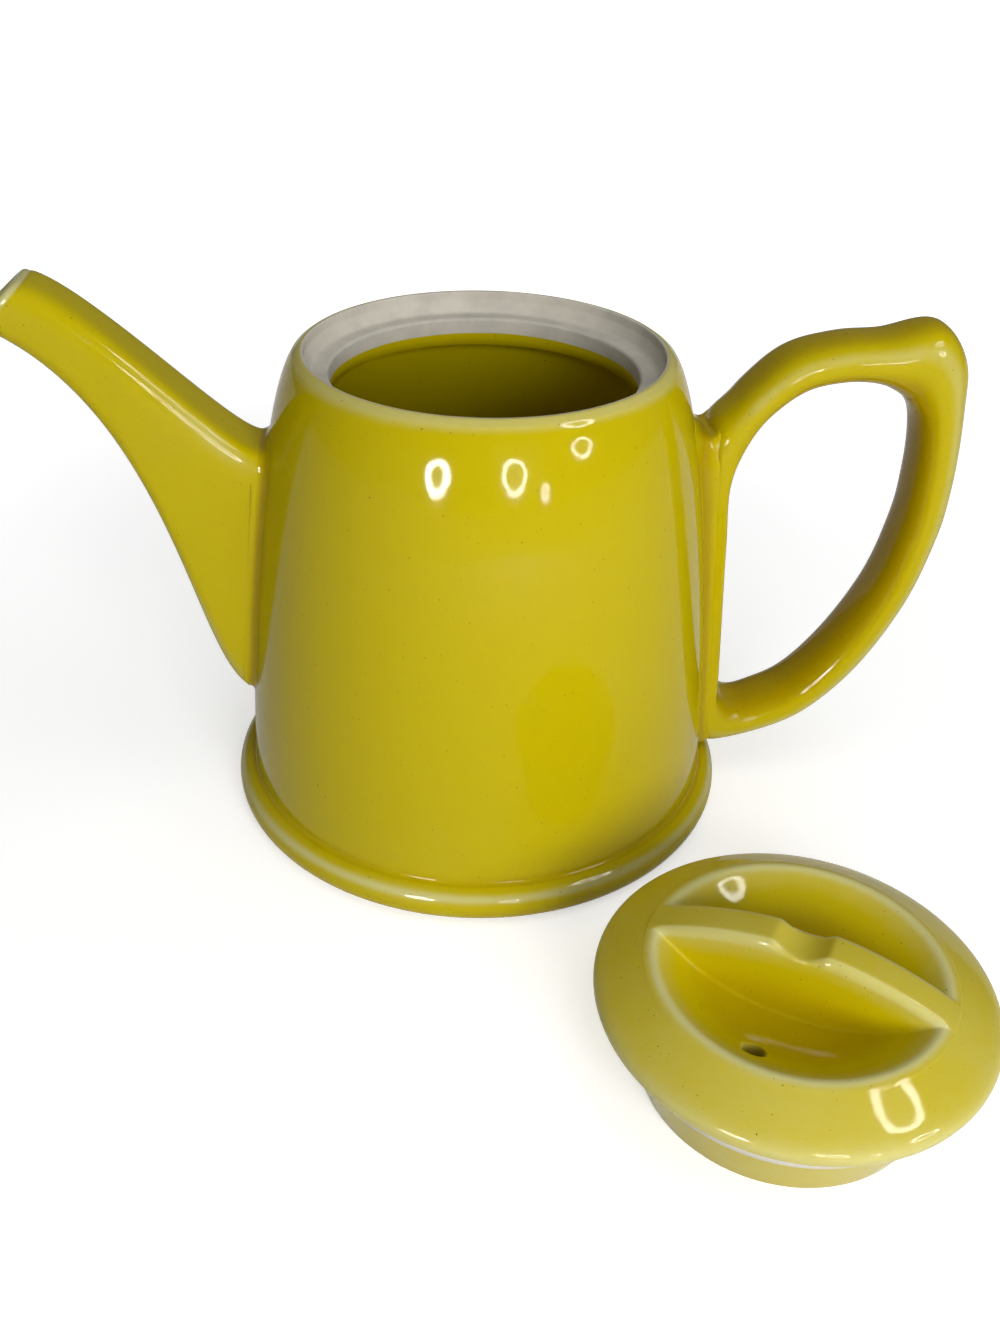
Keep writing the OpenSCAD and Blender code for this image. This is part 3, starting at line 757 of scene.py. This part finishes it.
class MESH_OT_teapot_lid(bpy.types.Operator):
    """Shapes the lid's crown, finger recess and grip bar, turns its brim and collar and cuts the vent"""

    bl_idname = "mesh.teapot_lid"
    bl_label = "Lid"

    def execute(self, context):
        lid = Sizes(settings().lid)
        bead = lid.brim_t / 2
        edge_r = lid.brim_r - bead - 0.015
        seam_r = lid.recess_r + 3.0
        points = self.crown_grid(lid, seam_r)
        skin = Skin()
        x, y = points[..., 0], points[..., 1]
        r = np.hypot(x, y)
        depth = self.crown(r, lid, edge_r) - points[..., 2]
        glaze = 0.9 * smooth_step(2.0, 13.0, depth)
        rim_line = np.exp(-(((r - lid.recess_r - 0.3) / 1.1) ** 2)) * (np.abs(y) > lid.grip_w / 2 - 0.5)
        bar_line = np.exp(-(((np.abs(y) - lid.grip_w / 2 + 0.1) / 0.85) ** 2))
        bar_line = bar_line * smooth_step(2.8, 0.5, depth)
        bar_line = bar_line * smooth_step(lid.recess_r + 1.5, lid.recess_r - 1.5, r)
        glaze = glaze - 0.7 * rim_line - 0.6 * bar_line - 0.25
        skin.patch(points, glaze)
        border = np.concatenate([points[0, :-1], points[:-1, -1], points[-1, :0:-1], points[:0:-1, 0]])
        angles = np.arctan2(border[:, 1], border[:, 0])
        keep = np.concatenate([[True], np.abs(np.angle(np.exp(1j * np.diff(angles)))) > 1e-7])
        angles = angles[keep]
        line = self.side_line(lid, seam_r, edge_r, bead)
        line_r, line_z = line[:, 0], line[:, 1]
        shade = -0.25 - 0.35 * np.exp(-(((line_z - lid.collar_h - bead) / 2.0) ** 2)) * (line_r > edge_r)
        on_strip = line_r > lid.collar_r - 1.2
        on_strip &= (line_z < lid.collar_h + 0.2) & (line_z > lid.collar_h - 6.3)
        outer = np.arange(len(line)) < np.argmin(line_z) + 1
        bare = np.where(on_strip & outer, 1.0, 0.0)
        bare = np.where(outer & (line_z < 0.12), 1.0, bare)
        side = revolve(line, angles)
        skin.patch(side, shade[:, None], bare[:, None], wrap_columns=True)
        piece = skin.build("Lid", "lid", "lid_glaze", glaze_material("Lid glaze", 8.9), "lid")
        cut(piece, self.vent(lid))
        place = Matrix.Translation((lid.centre_x * MM, lid.centre_y * MM, 0))
        piece.data.transform(place @ Matrix.Rotation(lid.turn, 4, "Z"))
        return {"FINISHED"}

    def crown(self, r, lid, edge_r):
        """Height of the lid's top: it falls as the square of the radius, to the brim."""
        fall = (lid.crown_z - lid.collar_h - lid.brim_t) / edge_r**2
        return lid.crown_z - fall * r * r

    def crown_grid(self, lid, seam_r):
        """Rows that run along the grip bar, straight near it and bending out to the circle seam_r."""
        half = lid.grip_w / 2
        u = np.sin(np.linspace(-0.5 * math.pi, 0.5 * math.pi, 181))
        fine = 0.055
        near = np.concatenate([np.linspace(0, fine, 16)[1:], fine + (1 - fine) * np.linspace(0, 1, 62)[1:]])
        bar = np.linspace(-half, half, 13)
        start = math.asin(half / seam_r)
        rows = []
        for sign in (-1.0, 1.0):
            share = near[::-1] if sign < 0 else near
            straight_x = u * math.cos(start) * seam_r
            angle = 0.5 * math.pi - u * (0.5 * math.pi - start)
            arc_x, arc_y = seam_r * np.cos(angle), seam_r * np.sin(angle)
            s = share[:, None]
            x = (1 - s) * straight_x[None] + s * arc_x[None]
            y = (1 - s) * half + s * arc_y[None]
            rows.append(np.stack([x, sign * y], axis=-1))
        reach = np.sqrt(seam_r**2 - bar**2)
        centre = np.stack([u[None] * reach[:, None], np.repeat(bar[:, None], len(u), 1)], axis=-1)
        plan = np.concatenate([rows[0], centre, rows[1]])
        x, y = plan[..., 0], plan[..., 1]
        return np.concatenate([plan, self.top_height(x, y, lid)[..., None]], axis=-1)

    def top_height(self, x, y, lid):
        """Crown, less a bowl-shaped recess on both sides of a grip bar with leaning sides and a notch."""
        edge_r = lid.brim_r - lid.brim_t / 2
        r = np.hypot(x, y)
        crown = self.crown(r, lid, edge_r)
        floor_z = lid.crown_z - lid.recess_d
        edge_z = self.crown(lid.recess_r, lid, edge_r)
        bowl = floor_z + (edge_z - floor_z) * (r / lid.recess_r) ** 2.4
        side = crown + 1.0 - (np.abs(y) - lid.grip_w / 2 + 0.2) * 13.0
        hollow = soft_max(bowl, side, 2.2)
        top = soft_min(crown + 0.25, hollow, 1.5)
        notch_d, notch_l = 2.4, 11.0
        notch_r = (notch_l**2 / 4 + notch_d**2) / (2 * notch_d)
        dip = lid.crown_z - notch_d + notch_r - np.sqrt(np.maximum(notch_r**2 - x * x, 0.0))
        dip = np.where(np.abs(x) < notch_r, dip, 1e3)
        top = np.where(np.abs(x) < notch_r, soft_min(top, dip, 0.5), top)
        return np.where(r > lid.recess_r + 2.5, crown, top)

    def side_line(self, lid, seam_r, edge_r, bead):
        """(r, z) from the crown's seam over the brim, down the collar and up the hollow to the axis."""
        turn_r = edge_r + 0.3
        r = np.linspace(seam_r, turn_r, 10)[:-1]
        top = np.array([turn_r, self.crown(turn_r, lid, edge_r)])
        rim = np.array([edge_r + bead, lid.collar_h + bead])
        slope = 2.0 * (lid.crown_z - lid.collar_h - lid.brim_t) / edge_r**2 * turn_r
        corner = np.array([rim[0], top[1] - slope * (rim[0] - top[0])])
        controls = (top, top + 0.6 * (corner - top), rim + 0.85 * (corner - rim), rim)
        bend = bezier(controls, np.linspace(0.0, 1.0, 16))
        crown = np.concatenate([np.stack([r, self.crown(r, lid, edge_r)], axis=1), bend])
        turn = np.radians(np.arange(-6.0, -89.0, -6.0))
        brim = np.stack([edge_r + bead * np.cos(turn), lid.collar_h + bead + bead * np.sin(turn)], axis=1)
        under = rounded(
            [brim[-1], (edge_r, lid.collar_h), (lid.collar_r, lid.collar_h),
             (lid.collar_r, lid.collar_h - 5.5),
             (lid.collar_foot_r, 1.0), (lid.collar_foot_r - 0.4, 0.0), (lid.collar_foot_r - 3.4, 0.0),
             (lid.collar_r - 3.6, lid.crown_z - lid.recess_d - 9.0),
             (lid.collar_r - 3.6, lid.crown_z - lid.recess_d - 3.6), (0.0, lid.crown_z - lid.recess_d - 3.6)],
            (0.05, 0.5, 2.5, 1.0, 0.4, 0.8, 2.0, 3.4),
        )
        return even(np.concatenate([crown, brim, under[1:]]), 1.6)

    def vent(self, lid):
        """A round tool with a flared mouth, for the steam vent in the front recess."""
        turn = np.linspace(0.0, 2.0 * math.pi, 48, endpoint=False)
        x0, y0 = -0.1 * lid.recess_r, -0.7 * lid.recess_r
        z0 = float(self.top_height(np.array([x0]), np.array([y0]), lid)[0])
        radius = lid.vent_r * np.array([0.0, 1.0, 1.0, 1.0, 1.08, 1.25, 1.6, 0.0])
        height = np.array([-1.0, -1.0, z0 - 6.0, z0 - 1.2, z0 - 0.6, z0 - 0.1, z0 + 2.5, z0 + 2.5])
        points = revolve(np.stack([radius, height], axis=1), turn)
        points[..., 0] += x0
        points[..., 1] += y0
        return plain_object("vent tool", points)


class SCENE_OT_teapot_studio(bpy.types.Operator):
    """Lays the floor and sets the lamps, the sky and the camera"""

    bl_idname = "scene.teapot_studio"
    bl_label = "Studio"

    # Where each ring lamp stands and its width, in metres, its hole as a share and its power in watts.
    LAMPS = (
        ((-0.29, -0.578, 0.182), 0.14, 0.24, 3.2),
        ((0.125, -0.634, 0.196), 0.14, 0.36, 2.6),
        ((0.465, -0.423, 0.262), 0.13, 0.36, 1.8),
        ((0.285, -0.582, 0.128), 0.045, 0.3, 0.3),
        ((0.4, -0.285, 0.49), 0.18, 0.3, 2.2),
    )

    def execute(self, context):
        studio = settings().studio
        scene = context.scene
        scene.view_settings.view_transform = "Standard"
        self.floor(studio)
        self.sky(scene, studio)
        aim = Vector((0.0, -0.02, 0.06))
        self.lamp("Front", (0.16, -0.66, 0.26), aim, 0.3, 3.3 * studio.lamp)
        self.lamp("Key", (0.2, -0.3, 1.1), aim, 0.7, 2.6 * studio.lamp)
        self.lamp("Back", (0.1, 0.8, 1.0), aim, 0.8, 0.8 * studio.lamp)
        for number, (place, width, hole, power) in enumerate(self.LAMPS):
            self.ring_lamp(f"Ring {number + 1}", place, aim, width, hole, power * studio.lamp)
        self.camera(scene, studio)
        return {"FINISHED"}

    def ring_lamp(self, name, place, aim, width, hole, power):
        """A round lamp, bright in a ring and dim in its middle, that only reflections show."""
        light = self.lamp(name, place, aim, width, power, "DISK")
        light.use_nodes = True
        nodes, links = light.node_tree.nodes, light.node_tree.links
        spot = nodes.new("ShaderNodeNewGeometry")
        centre = nodes.new("ShaderNodeVectorMath")
        centre.operation = "DISTANCE"
        centre.inputs[1].default_value = (0.5, 0.5, 0.0)
        links.new(spot.outputs["Parametric"], centre.inputs[0])
        ring = nodes.new("ShaderNodeMapRange")
        ring.interpolation_type = "SMOOTHSTEP"
        ring.inputs["From Min"].default_value = hole
        ring.inputs["From Max"].default_value = hole + 0.06
        ring.inputs["To Min"].default_value = 0.05
        ring.inputs["To Max"].default_value = 1.6
        links.new(centre.outputs["Value"], ring.inputs["Value"])
        links.new(ring.outputs["Result"], nodes["Emission"].inputs["Strength"])

    def floor(self, studio):
        mesh = bpy.data.meshes.new("Floor")
        size = 4.0
        corners = [(-size, -size, 0), (size, -size, 0), (size, size, 0), (-size, size, 0)]
        mesh.from_pydata(corners, [], [(0, 1, 2, 3)])
        floor = bpy.data.objects.new("Floor", mesh)
        bpy.context.scene.collection.objects.link(floor)
        material = bpy.data.materials.new("Floor")
        material.use_nodes = True
        tree = material.node_tree
        shader = tree.nodes["Principled BSDF"]
        shader.inputs["Base Color"].default_value = (*studio.floor, 1.0)
        shader.inputs["Roughness"].default_value = 1.0
        shader.inputs["Specular IOR Level"].default_value = 0.0
        shader.inputs["Emission Color"].default_value = (1.0, 1.0, 1.0, 1.0)
        path = tree.nodes.new("ShaderNodeLightPath")
        seen = tree.nodes.new("ShaderNodeMath")
        seen.operation = "MAXIMUM"
        tree.links.new(path.outputs["Is Glossy Ray"], seen.inputs[0])
        tree.links.new(path.outputs["Is Transmission Ray"], seen.inputs[1])
        seen_through = tree.nodes.new("ShaderNodeMath")
        seen_through.operation = "MULTIPLY_ADD"
        seen_through.inputs[1].default_value = 0.4
        seen_through.use_clamp = True
        tree.links.new(seen.outputs[0], seen_through.inputs[0])
        tree.links.new(path.outputs["Is Camera Ray"], seen_through.inputs[2])
        place = tree.nodes.new("ShaderNodeTexCoord")
        far = tree.nodes.new("ShaderNodeVectorMath")
        far.operation = "LENGTH"
        tree.links.new(place.outputs["Object"], far.inputs[0])
        rise = tree.nodes.new("ShaderNodeMapRange")
        rise.interpolation_type = "SMOOTHSTEP"
        rise.inputs["From Min"].default_value = 0.12
        rise.inputs["From Max"].default_value = 0.5
        rise.inputs["To Min"].default_value = studio.floor_lift
        rise.inputs["To Max"].default_value = 1.0
        tree.links.new(far.outputs["Value"], rise.inputs["Value"])
        lift = tree.nodes.new("ShaderNodeMath")
        lift.operation = "MULTIPLY"
        tree.links.new(seen_through.outputs[0], lift.inputs[0])
        tree.links.new(rise.outputs["Result"], lift.inputs[1])
        tree.links.new(lift.outputs[0], shader.inputs["Emission Strength"])
        mesh.materials.append(material)

    def sky(self, scene, studio):
        world = bpy.data.worlds.new("Studio")
        world.use_nodes = True
        nodes, links = world.node_tree.nodes, world.node_tree.links
        back = nodes["Background"]
        back.inputs["Color"].default_value = (1.0, 1.0, 1.0, 1.0)
        path = nodes.new("ShaderNodeLightPath")
        mix = nodes.new("ShaderNodeMapRange")
        mix.inputs["To Min"].default_value = studio.sky
        mix.inputs["To Max"].default_value = 1.0
        links.new(path.outputs["Is Camera Ray"], mix.inputs["Value"])
        links.new(mix.outputs["Result"], back.inputs["Strength"])
        scene.world = world

    def lamp(self, name, place, aim, width, power, shape="SQUARE"):
        light = bpy.data.lights.new(name, "AREA")
        light.shape, light.size, light.energy = shape, width, power
        lamp = bpy.data.objects.new(name, light)
        lamp.visible_glossy = shape == "DISK"
        lamp.visible_diffuse = shape != "DISK"
        lamp.location = place
        lamp.rotation_mode = "QUATERNION"
        lamp.rotation_quaternion = (aim - Vector(place)).to_track_quat("-Z", "Y")
        bpy.context.scene.collection.objects.link(lamp)
        return light

    def camera(self, scene, studio):
        data = bpy.data.cameras.new("Camera")
        data.lens, data.sensor_width, data.sensor_fit = studio.lens, 36.0, "AUTO"
        data.clip_start, data.clip_end = 0.02, 20.0
        camera = bpy.data.objects.new("Camera", data)
        right = Vector((0.99639271, -0.08115953, 0.02479321))
        up = Vector((0.02353404, 0.54496435, 0.83812888))
        back = -Vector((0.08153356, 0.83452201, -0.54490851))
        turn = Matrix((right, up, back)).transposed()
        camera.matrix_world = Matrix.Translation((-0.02363, -0.30028, 0.22842)) @ turn.to_4x4()
        scene.collection.objects.link(camera)
        scene.camera = camera


class VIEW3D_PT_teapot(bpy.types.Panel):
    """Buttons that build the teapot, and its sizes"""

    bl_idname = "VIEW3D_PT_teapot"
    bl_label = "Teapot"
    bl_space_type = "VIEW_3D"
    bl_region_type = "UI"
    bl_category = "Teapot"

    def draw(self, context):
        for step in STEPS:
            self.layout.operator(step.bl_idname)
        for label in ("pot", "root", "spout", "handle", "lid", "colours", "studio"):
            box = self.layout.box()
            box.label(text=label.capitalize())
            group = getattr(settings(), label)
            for name in group.__annotations__:
                box.prop(group, name)


STEPS = (
    MESH_OT_teapot_body,
    MESH_OT_teapot_spout,
    MESH_OT_teapot_handle,
    MESH_OT_teapot_lid,
    SCENE_OT_teapot_studio,
)
CLASSES = (
    PotSizes, RootSizes, SpoutSizes, HandleSizes, LidSizes, GlazeColours, StudioSettings, TeapotSettings,
    *STEPS, VIEW3D_PT_teapot,
)


def register():
    for item in CLASSES:
        bpy.utils.register_class(item)
    bpy.types.Scene.china_teapot = PointerProperty(type=TeapotSettings)


def unregister():
    del bpy.types.Scene.china_teapot
    for item in reversed(CLASSES):
        bpy.utils.unregister_class(item)


def main():
    """Builds every piece in order."""
    register()
    bpy.ops.mesh.teapot_body()
    bpy.ops.mesh.teapot_spout()
    bpy.ops.mesh.teapot_handle()
    bpy.ops.mesh.teapot_lid()
    bpy.ops.scene.teapot_studio()


if __name__ == "__main__":
    main()
